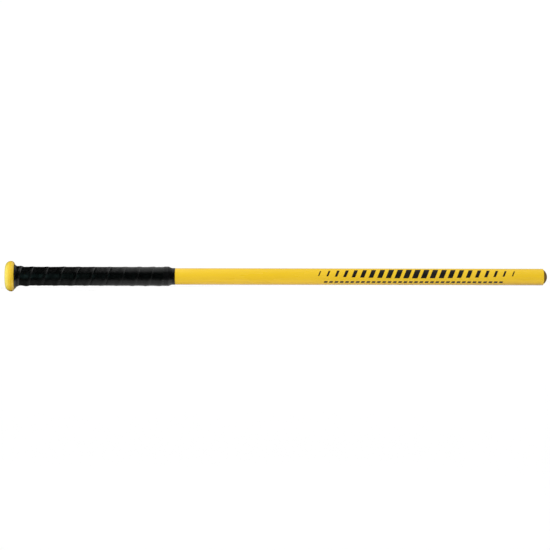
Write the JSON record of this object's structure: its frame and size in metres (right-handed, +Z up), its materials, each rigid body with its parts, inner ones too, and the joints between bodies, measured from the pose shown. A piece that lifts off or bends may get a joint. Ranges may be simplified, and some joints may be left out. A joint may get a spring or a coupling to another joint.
{
  "type": "swing trainer stick",
  "caption": "Thin-barrel stick bat for hitting practice: straight round tube, flared knob, spirally wrapped two-hand grip and a domed plug at the far end.",
  "frame": {"origin": "centre of the knob's butt face", "axes": "+X along the stick from the knob to the barrel tip, +Z up, -Y the side with the printed marks"},
  "size_m": [0.8382, 0.047, 0.0472],
  "materials": {
    "barrel_coat": "gloss",
    "knob_coat": "gloss",
    "black_rubber": "satin",
    "plug_rubber": "satin",
    "foam": "matte",
    "slug_steel": "satin",
    "adhesive": "matte",
    "grip_strip": "satin",
    "vinyl_tape": "satin",
    "print_ink": "satin"
  },
  "bodies": {
    "root": {"barrel_tube": "barrel_coat", "knob": "knob_coat", "knob_vent_plug": "black_rubber", "end_plug": "plug_rubber", "foam_core": "foam", "balance_weight": "slug_steel", "weight_rings": "black_rubber", "foam_damper": "foam", "grip_adhesive": "adhesive", "grip_wrap": "grip_strip", "finish_tape": "vinyl_tape", "barrel_graphic": "print_ink"}
  },
  "joints": []
}
